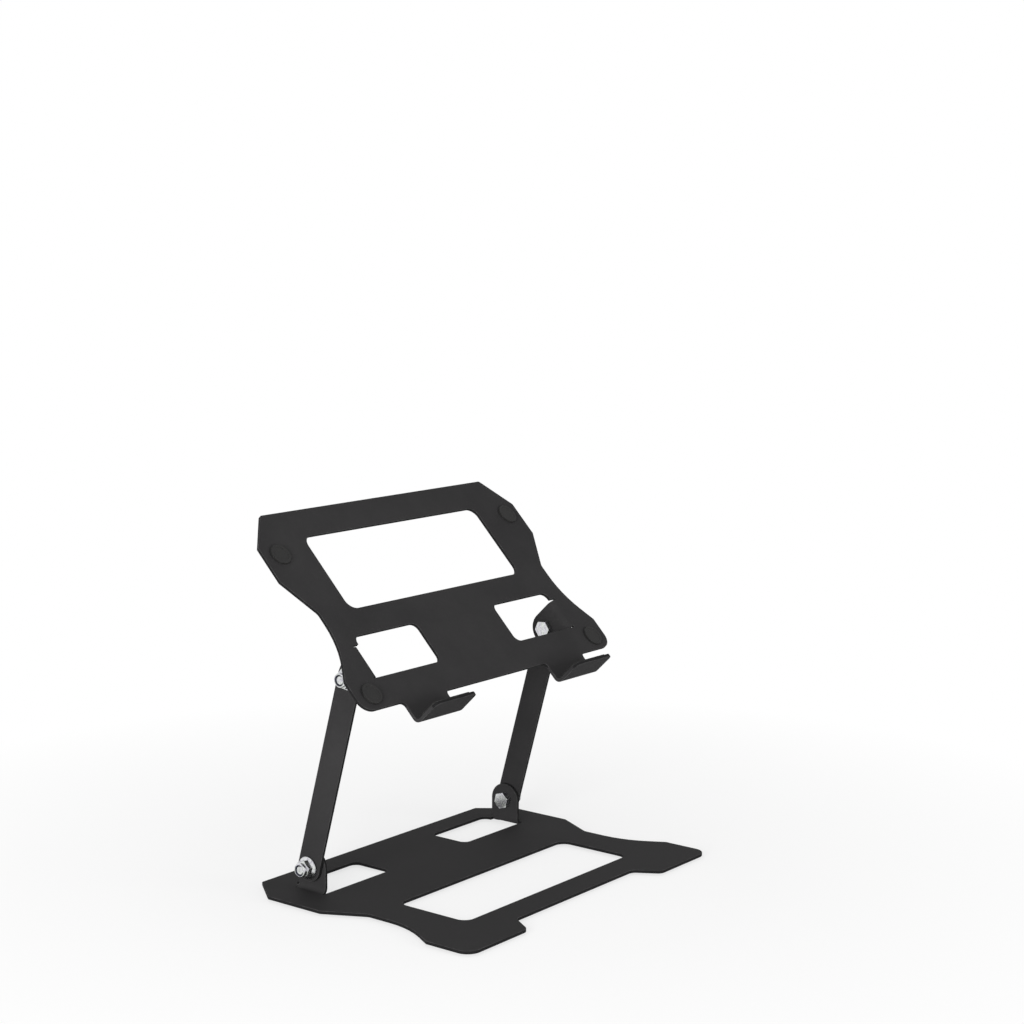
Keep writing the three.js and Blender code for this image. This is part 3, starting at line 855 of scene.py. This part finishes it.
LINER_WIDTH, LINER_TOP_MARGIN = 34 * MM, 2.5 * MM
LINER_THICKNESS, LINER_RADIUS, LINER_EASE = 1.2 * MM, 2.5 * MM, 0.25 * MM
liner_bottom, liner_top = UNDERSIDE + HOOK_BEND, UNDERSIDE + HOOK_HEIGHT - LINER_TOP_MARGIN
liner_back = SHEET + HAIR_GAP - PLATFORM_REACH
liner_front = SHEET + SEAT_GAP + LINER_THICKNESS - PLATFORM_REACH
for side_name, centre_x in (("left", -HOOK_X), ("right", HOOK_X)):
    half = LINER_WIDTH / 2
    outline = rectangle(centre_x - half, centre_x + half, liner_bottom, liner_top, LINER_RADIUS)
    depth = Y_AXIS * (liner_front - liner_back)
    liner = prism("hook_pad_" + side_name, outline, XZ_PLANE, Y_AXIS * liner_back, depth)
    ease(liner, LINER_EASE)
    place(liner, PLATFORM_PLACE)
    trim.append((liner, "platform", "hook_liner_" + side_name, "rubber"))
print(len(trim), "rubber pieces")

# %% [markdown]
# ## What moves with what
# Every piece rides on the body that carries it and stands for one node of the frame.

# %% Rides, nodes and slots
steel = [
    (base_plate, "base", "base_plate", "black_coat"),
    (platform, "platform", "platform", "black_coat"),
    (arms["left"], "arms", "left_arm", "black_coat"),
    (arms["right"], "arms", "right_arm", "black_coat"),
]
everything = steel + hardware + trim
for piece, body, node, slot_name in everything:
    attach(piece, body)
    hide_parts(node)

# %% [markdown]
# ## Shared shader groups
# Powder coat, zinc plate and rubber all need fine grain that stays fixed to the piece. Each group
# takes a position and puts out heights and masks, and each material then uses them in its own way.

# %% Shader helpers
def new_group(name, inputs, outputs):
    """A shader group with float inputs, a Vector input, and float outputs."""
    group = bpy.data.node_groups.new(name, "ShaderNodeTree")
    group.interface.new_socket(name="Vector", in_out="INPUT", socket_type="NodeSocketVector")
    for socket_name, value in inputs:
        socket = group.interface.new_socket(
            name=socket_name, in_out="INPUT", socket_type="NodeSocketFloat"
        )
        socket.default_value = value
    for socket_name in outputs:
        group.interface.new_socket(
            name=socket_name, in_out="OUTPUT", socket_type="NodeSocketFloat"
        )
    entry = group.nodes.new("NodeGroupInput")
    leave = group.nodes.new("NodeGroupOutput")
    return group, entry, leave


def noise(tree, vector, scale, detail=2, roughness=0.5):
    """A noise texture on a position, with its scale in cycles per metre."""
    node = tree.nodes.new("ShaderNodeTexNoise")
    node.inputs["Detail"].default_value = detail
    node.inputs["Roughness"].default_value = roughness
    tree.links.new(vector, node.inputs["Vector"])
    if isinstance(scale, (int, float)):
        node.inputs["Scale"].default_value = scale
    else:
        tree.links.new(scale, node.inputs["Scale"])
    return node.outputs["Fac"]


def remap(tree, value, low, high, to_low, to_high):
    """Maps a value between two limits onto two others."""
    node = tree.nodes.new("ShaderNodeMapRange")
    for socket_name, number in (
        ("From Min", low),
        ("From Max", high),
        ("To Min", to_low),
        ("To Max", to_high),
    ):
        node.inputs[socket_name].default_value = number
    tree.links.new(value, node.inputs["Value"])
    return node.outputs["Result"]


def calculate(tree, operation, one, other):
    """A maths node on two sockets, or on a socket and a number."""
    node = tree.nodes.new("ShaderNodeMath")
    node.operation = operation
    for index, value in enumerate((one, other)):
        if isinstance(value, (int, float)):
            node.inputs[index].default_value = value
        else:
            tree.links.new(value, node.inputs[index])
    return node.outputs["Value"]


def blend_colours(tree, share, first, second):
    """Mixes two colours, each a socket or a plain colour, by a share."""
    node = tree.nodes.new("ShaderNodeMix")
    node.data_type = "RGBA"
    tree.links.new(share, node.inputs["Factor"])
    for socket_name, colour in (("A", first), ("B", second)):
        socket = [s for s in node.inputs if s.name == socket_name and s.type == "RGBA"][0]
        if isinstance(colour, tuple):
            socket.default_value = (*colour, 1)
        else:
            tree.links.new(colour, socket)
    return [s for s in node.outputs if s.type == "RGBA"][0]


def use_group(tree, group, vector, **values):
    """A shared group in a material, on a position and with the material's own values."""
    node = tree.nodes.new("ShaderNodeGroup")
    node.node_tree = group
    tree.links.new(vector, node.inputs["Vector"])
    for socket_name, value in values.items():
        node.inputs[socket_name.replace("_", " ").capitalize()].default_value = value
    return node


def new_material(name, **sockets):
    """A material with its shader's constant sockets set, and its object position."""
    material = bpy.data.materials.new(name)
    material.use_nodes = True
    tree = material.node_tree
    shader = tree.nodes["Principled BSDF"]
    for socket_name, value in sockets.items():
        shader.inputs[socket_name.replace("_", " ")].default_value = value
    position = tree.nodes.new("ShaderNodeTexCoord").outputs["Object"]
    return material, tree, shader, position


def feed_shader(tree, shader, grain, colour, roughness_pair, grain_depth, depth_share):
    """Gives a shader its colour, a roughness that follows the clouds, and the grain as bump."""
    tree.links.new(colour, shader.inputs["Base Color"])
    clouded = remap(tree, grain.outputs["Cloud"], 0, 1, *roughness_pair)
    tree.links.new(clouded, shader.inputs["Roughness"])
    bump = tree.nodes.new("ShaderNodeBump")
    bump.inputs["Distance"].default_value = grain_depth
    bump.inputs["Strength"].default_value = depth_share
    tree.links.new(grain.outputs["Height"], bump.inputs["Height"])
    tree.links.new(bump.outputs["Normal"], shader.inputs["Normal"])


def shown_rays(tree):
    """A mask of the rays that show the background: straight, mirrored or through glass."""
    path = tree.nodes.new("ShaderNodeLightPath")
    camera_ray, glossy_ray = path.outputs["Is Camera Ray"], path.outputs["Is Glossy Ray"]
    shown = calculate(tree, "MAXIMUM", camera_ray, glossy_ray)
    return calculate(tree, "MAXIMUM", shown, path.outputs["Is Transmission Ray"])


# %% Grain group and edge group: wear, painted highlight and painted shade
CLOUD_LIMITS, COARSE_SCALE_SHARE, COARSE_HEIGHT_SHARE = (0.3, 0.7), 0.3, 0.8
WEAR_AND_HIGHLIGHT_LIMITS, LEAST_WEAR_AND_HIGHLIGHT_SHARE = (0.42, 0.62), 0.15
speckle, entry, leave = new_group(
    "fine_grain", [("Grain scale", 2500), ("Cloud scale", 30)], ["Height", "Cloud"]
)
fine = noise(speckle, entry.outputs["Vector"], entry.outputs["Grain scale"], roughness=0.6)
coarse_scale = calculate(
    speckle, "MULTIPLY", entry.outputs["Grain scale"], COARSE_SCALE_SHARE
)
coarse = noise(speckle, entry.outputs["Vector"], coarse_scale, detail=1)
coarse = calculate(speckle, "MULTIPLY", coarse, COARSE_HEIGHT_SHARE)
speckle.links.new(calculate(speckle, "ADD", coarse, fine), leave.inputs["Height"])
cloud = noise(
    speckle, entry.outputs["Vector"], entry.outputs["Cloud scale"], detail=4, roughness=0.62
)
speckle.links.new(remap(speckle, cloud, *CLOUD_LIMITS, 0, 1), leave.inputs["Cloud"])

# The rim mask carries wear and a painted highlight, the cut mask a thinner coat and painted shade.
edge_wear_and_light_group, entry, leave = new_group("edge_wear_and_painted_light", [("Patch scale", 180)], ["Mask", "Cut"])
marks = {}
for mark_name in ("rim", "cut"):
    mark = edge_wear_and_light_group.nodes.new("ShaderNodeAttribute")
    mark.attribute_name = mark_name
    marks[mark_name] = mark.outputs["Fac"]
patches = noise(edge_wear_and_light_group, entry.outputs["Vector"], entry.outputs["Patch scale"], detail=3)
patches = remap(edge_wear_and_light_group, patches, *WEAR_AND_HIGHLIGHT_LIMITS, LEAST_WEAR_AND_HIGHLIGHT_SHARE, 1)
edge_wear_and_light_group.links.new(calculate(edge_wear_and_light_group, "MULTIPLY", marks["rim"], patches), leave.inputs["Mask"])
edge_wear_and_light_group.links.new(marks["cut"], leave.inputs["Cut"])
print("shader groups", [group.name for group in (speckle, edge_wear_and_light_group)])

# %% [markdown]
# ## Powder coat
# Matt black powder coat is a cured plastic skin. It melts into a fine orange peel with a grain of
# about half a millimetre, its black is a dark grey in full light, and its gloss is low. A little
# dust and handling changes the grey in soft clouds. Its rims are paler, partly for wear and partly
# as a painted highlight, and its cut walls are darker, partly for a thinner coat and partly as
# painted shade.

# %% Black coat
COAT_GREY, COAT_PALE_GREY = (0.025, 0.0244, 0.025), (0.034, 0.0332, 0.0338)
# The rim grey is paler partly for wear and partly as a painted highlight on the rounded rims.
COAT_FLECK, COAT_RIM_WEAR_AND_HIGHLIGHT = (0.052, 0.051, 0.052), (0.075, 0.0735, 0.0745)
# The cut-wall grey is darker partly for a thinner coat and partly as painted shade on the walls.
COAT_THIN_AND_SHADED_CUT_WALL = (0.013, 0.0129, 0.0132)
FLECK_SCALE, FLECK_LIMITS, MOST_FLECK_SHARE = 2600, (0.62, 0.75), 0.35
COAT_ROUGHNESS, COAT_GRAIN_DEPTH, COAT_GRAIN_SHARE = (0.68, 0.8), 0.03 * MM, 0.55

coat, tree, shader, position = new_material(
    "black_powder_coat", Metallic=0, Specular_IOR_Level=0.05
)
grain = use_group(tree, speckle, position, grain_scale=1900, cloud_scale=22)
edge_wear_and_light_node = use_group(tree, edge_wear_and_light_group, position, patch_scale=160)
clouded = blend_colours(tree, grain.outputs["Cloud"], COAT_GREY, COAT_PALE_GREY)
flecks = noise(tree, position, FLECK_SCALE, detail=1)
flecks = remap(tree, flecks, *FLECK_LIMITS, 0, MOST_FLECK_SHARE)
flecked = blend_colours(tree, flecks, clouded, COAT_FLECK)
# The cut walls get a darker grey: partly a thinner coat, partly painted shade.
cut_wall_thin_and_shaded = blend_colours(tree, edge_wear_and_light_node.outputs["Cut"], flecked, COAT_THIN_AND_SHADED_CUT_WALL)
# The rims get a paler grey: partly wear, partly a painted highlight.
rim_worn_and_highlighted = blend_colours(tree, edge_wear_and_light_node.outputs["Mask"], cut_wall_thin_and_shaded, COAT_RIM_WEAR_AND_HIGHLIGHT)
feed_shader(tree, shader, grain, rim_worn_and_highlighted, COAT_ROUGHNESS, COAT_GRAIN_DEPTH, COAT_GRAIN_SHARE)
print(coat.name, len(tree.nodes), "nodes")

# %% [markdown]
# ## Zinc, nylon and rubber
# Clear zinc plate is bright and slightly mottled, with rolling marks and a faint cool tint. The
# washers and locking rings are dark nylon, and the feet, pads and liners are soft black rubber.

# %% Zinc
ZINC_GREEN_TINT, ZINC_VIOLET_TINT = (0.5, 0.53, 0.48), (0.42, 0.4, 0.47)
ZINC_BRIGHT, ZINC_STAIN = (0.87, 0.88, 0.89), (0.2, 0.2, 0.21)
TINT_SCALE, TINT_LIMITS = 330, (0.42, 0.58)
STAIN_SCALE, STAIN_LIMITS, MOST_STAIN_SHARE = 1100, (0.56, 0.7), 0.5
ZINC_ROUGHNESS, ZINC_GRAIN_DEPTH, ZINC_GRAIN_SHARE = (0.33, 0.16), 0.02 * MM, 0.5

zinc, tree, shader, position = new_material("bright_zinc", Metallic=1)
grain = use_group(tree, speckle, position, grain_scale=3800, cloud_scale=700)
tints = remap(tree, noise(tree, position, TINT_SCALE), *TINT_LIMITS, 0, 1)
tinted = blend_colours(tree, tints, ZINC_GREEN_TINT, ZINC_VIOLET_TINT)
mottled = blend_colours(tree, grain.outputs["Cloud"], tinted, ZINC_BRIGHT)
stains = noise(tree, position, STAIN_SCALE, detail=3)
stains = remap(tree, stains, *STAIN_LIMITS, 0, MOST_STAIN_SHARE)
stained = blend_colours(tree, stains, mottled, ZINC_STAIN)
feed_shader(tree, shader, grain, stained, ZINC_ROUGHNESS, ZINC_GRAIN_DEPTH, ZINC_GRAIN_SHARE)
print(zinc.name, len(tree.nodes), "nodes")

# %% Nylon
NYLON_DARK, NYLON_PALE = (0.012, 0.014, 0.024), (0.022, 0.025, 0.04)
NYLON_ROUGHNESS, NYLON_GRAIN_DEPTH, NYLON_GRAIN_SHARE = (0.36, 0.5), 0.01 * MM, 0.4

nylon, tree, shader, position = new_material("dark_nylon", Metallic=0, Specular_IOR_Level=0.45)
grain = use_group(tree, speckle, position, grain_scale=1500, cloud_scale=400)
shaded = blend_colours(tree, grain.outputs["Cloud"], NYLON_DARK, NYLON_PALE)
feed_shader(tree, shader, grain, shaded, NYLON_ROUGHNESS, NYLON_GRAIN_DEPTH, NYLON_GRAIN_SHARE)
print(nylon.name, len(tree.nodes), "nodes")

# %% Rubber
RUBBER_DARK, RUBBER_PALE = (0.011, 0.011, 0.011), (0.022, 0.0215, 0.021)
DUST_SCALE, DUST_LIMITS, MOST_DUST_SHARE = 1400, (0.6, 0.75), 0.3
DUST_COLOUR, RUBBER_ROUGHNESS = (0.07, 0.068, 0.065), (0.7, 0.85)
RUBBER_GRAIN_DEPTH, RUBBER_GRAIN_SHARE = 0.05 * MM, 0.6

rubber, tree, shader, position = new_material("black_rubber", Metallic=0, Specular_IOR_Level=0.3)
grain = use_group(tree, speckle, position, grain_scale=1300, cloud_scale=90)
shaded = blend_colours(tree, grain.outputs["Cloud"], RUBBER_DARK, RUBBER_PALE)
dust = noise(tree, position, DUST_SCALE, detail=3)
dust = remap(tree, dust, *DUST_LIMITS, 0, MOST_DUST_SHARE)
dusty = blend_colours(tree, dust, shaded, DUST_COLOUR)
feed_shader(
    tree, shader, grain, dusty, RUBBER_ROUGHNESS, RUBBER_GRAIN_DEPTH, RUBBER_GRAIN_SHARE
)
print(rubber.name, len(tree.nodes), "nodes")

# %% Put the finishes on
FINISHES = {"black_coat": coat, "zinc": zinc, "nylon": nylon, "rubber": rubber}
for piece, body, node, slot_name in everything:
    for holder in (piece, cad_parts[node]):
        holder.data.materials.clear()
        holder.data.materials.append(FINISHES[slot_name])
print("finishes on", len(everything), "pieces and nodes")

# %% [markdown]
# ## Stage, light and camera
# The stand is on a plain white floor. Three broad lamps, from above, from the left and from the
# front, give the plain light of a studio, and the world fills the shadows. Gloss doesn't see the
# lamps, so the zinc mirrors the white room and not three bright squares. For the camera the floor
# fades to pure white away from the stand, while its shadow stays.

# %% Floor and world
FLOOR_HALF_SIZE = 3000 * MM
SHADOW_REACH, SHADOW_FADE, NEAR_GLOW_SHARE = 160 * MM, 500 * MM, 0.7
PAPER_DARK, PAPER_PALE, WHITE = (0.86, 0.86, 0.86), (0.88, 0.88, 0.88), (1, 1, 1)
PAPER_GRAIN_SCALE, PAPER_GRAIN_LIMITS = 900, (0.4, 0.6)
PAPER_ROUGHNESS, PAPER_GLOSS = 0.9, 0.1

select_none()
bpy.ops.mesh.primitive_plane_add(size=FLOOR_HALF_SIZE * 2, location=(0, 0, -HAIR_GAP / 2))
floor = bpy.context.object
floor.name = "studio_floor"
bpy.ops.object.transform_apply(location=True, rotation=True, scale=True)

paper = bpy.data.materials.new("studio_paper")
paper.use_nodes = True
tree = paper.node_tree
shader = tree.nodes["Principled BSDF"]
shader.inputs["Roughness"].default_value = PAPER_ROUGHNESS
shader.inputs["Specular IOR Level"].default_value = PAPER_GLOSS
position = tree.nodes.new("ShaderNodeTexCoord").outputs["Object"]
paper_grain = noise(tree, position, PAPER_GRAIN_SCALE)
paper_grain = remap(tree, paper_grain, *PAPER_GRAIN_LIMITS, 0, 1)
paper_tone = blend_colours(tree, paper_grain, PAPER_DARK, PAPER_PALE)
distance = tree.nodes.new("ShaderNodeVectorMath")
distance.operation = "LENGTH"
tree.links.new(position, distance.inputs[0])
far = remap(tree, distance.outputs["Value"], SHADOW_REACH, SHADOW_FADE, NEAR_GLOW_SHARE, 1)
shown = shown_rays(tree)
paper_shown = blend_colours(tree, shown, paper_tone, WHITE)
tree.links.new(paper_shown, shader.inputs["Base Color"])
glow = tree.nodes.new("ShaderNodeEmission")
glow.inputs["Color"].default_value = (*WHITE, 1)
glow.inputs["Strength"].default_value = 1
mix = tree.nodes.new("ShaderNodeMixShader")
tree.links.new(calculate(tree, "MULTIPLY", shown, far), mix.inputs[0])
tree.links.new(shader.outputs["BSDF"], mix.inputs[1])
tree.links.new(glow.outputs["Emission"], mix.inputs[2])
tree.links.new(mix.outputs["Shader"], tree.nodes["Material Output"].inputs["Surface"])
floor.data.materials.append(paper)

WORLD_STRENGTH = 0.42
world = bpy.data.worlds.new("studio_world")
bpy.context.scene.world = world
world.use_nodes = True
tree = world.node_tree
background = tree.nodes["Background"]
background.inputs["Color"].default_value = (*WHITE, 1)
strength = remap(tree, shown_rays(tree), 0, 1, WORLD_STRENGTH, 1)
tree.links.new(strength, background.inputs["Strength"])
print("floor and world ready")

# %% Lamps
# Each lamp has a name, a place and a size in metres, and a power in watts.
LAMPS = (
    ("lamp_above", (-0.25, -0.1, 1.5), 1.3, 1.8),
    ("lamp_left", (-1.7, -0.5, 0.42), 0.9, 34),
    ("lamp_front", (0.4, -1.7, 0.28), 0.8, 15),
)
STAND_CENTRE = Vector((0, 0, 90 * MM))
for lamp_name, lamp_place, lamp_size, lamp_power in LAMPS:
    light = bpy.data.lights.new(lamp_name, "AREA")
    light.shape = "SQUARE"
    light.size = lamp_size
    light.energy = lamp_power
    lamp = bpy.data.objects.new(lamp_name, light)
    bpy.context.scene.collection.objects.link(lamp)
    lamp.location = lamp_place
    lamp.rotation_euler = (STAND_CENTRE - lamp.location).to_track_quat("-Z", "Y").to_euler()
    lamp.visible_glossy = False
print(len(LAMPS), "lamps")

# %% [markdown]
# The camera stands to the front left, a little above the plate. Its place and lens come from
# matching the stand's own straight edges in the reference picture.

# %% Camera
CAMERA_PLACE = Vector((-1009.956, -814.707, 420.622)) * MM
CAMERA_LENS, CAMERA_SENSOR = 74.5636, 36
CAMERA_AZIMUTH, CAMERA_ELEVATION, CAMERA_ROLL = (
    math.radians(degrees) for degrees in (-51.914, 8.252, 0.261)
)
camera_data = bpy.data.cameras.new("camera")
camera_data.lens = CAMERA_LENS
camera_data.sensor_width = CAMERA_SENSOR
camera = bpy.data.objects.new("camera", camera_data)
bpy.context.scene.collection.objects.link(camera)
backward = Vector(
    (
        math.sin(CAMERA_AZIMUTH) * math.cos(CAMERA_ELEVATION),
        -math.cos(CAMERA_AZIMUTH) * math.cos(CAMERA_ELEVATION),
        math.sin(CAMERA_ELEVATION),
    )
)
level = Z_AXIS.cross(backward).normalized()
upward = backward.cross(level)
across = level * math.cos(CAMERA_ROLL) + upward * math.sin(CAMERA_ROLL)
up = upward * math.cos(CAMERA_ROLL) - level * math.sin(CAMERA_ROLL)
camera_turn = Matrix((across, up, backward)).transposed().to_4x4()
camera.matrix_world = Matrix.Translation(CAMERA_PLACE) @ camera_turn
bpy.context.scene.camera = camera
bpy.context.scene.view_settings.view_transform = "Standard"
print("camera at", tuple(round(value, 3) for value in CAMERA_PLACE))
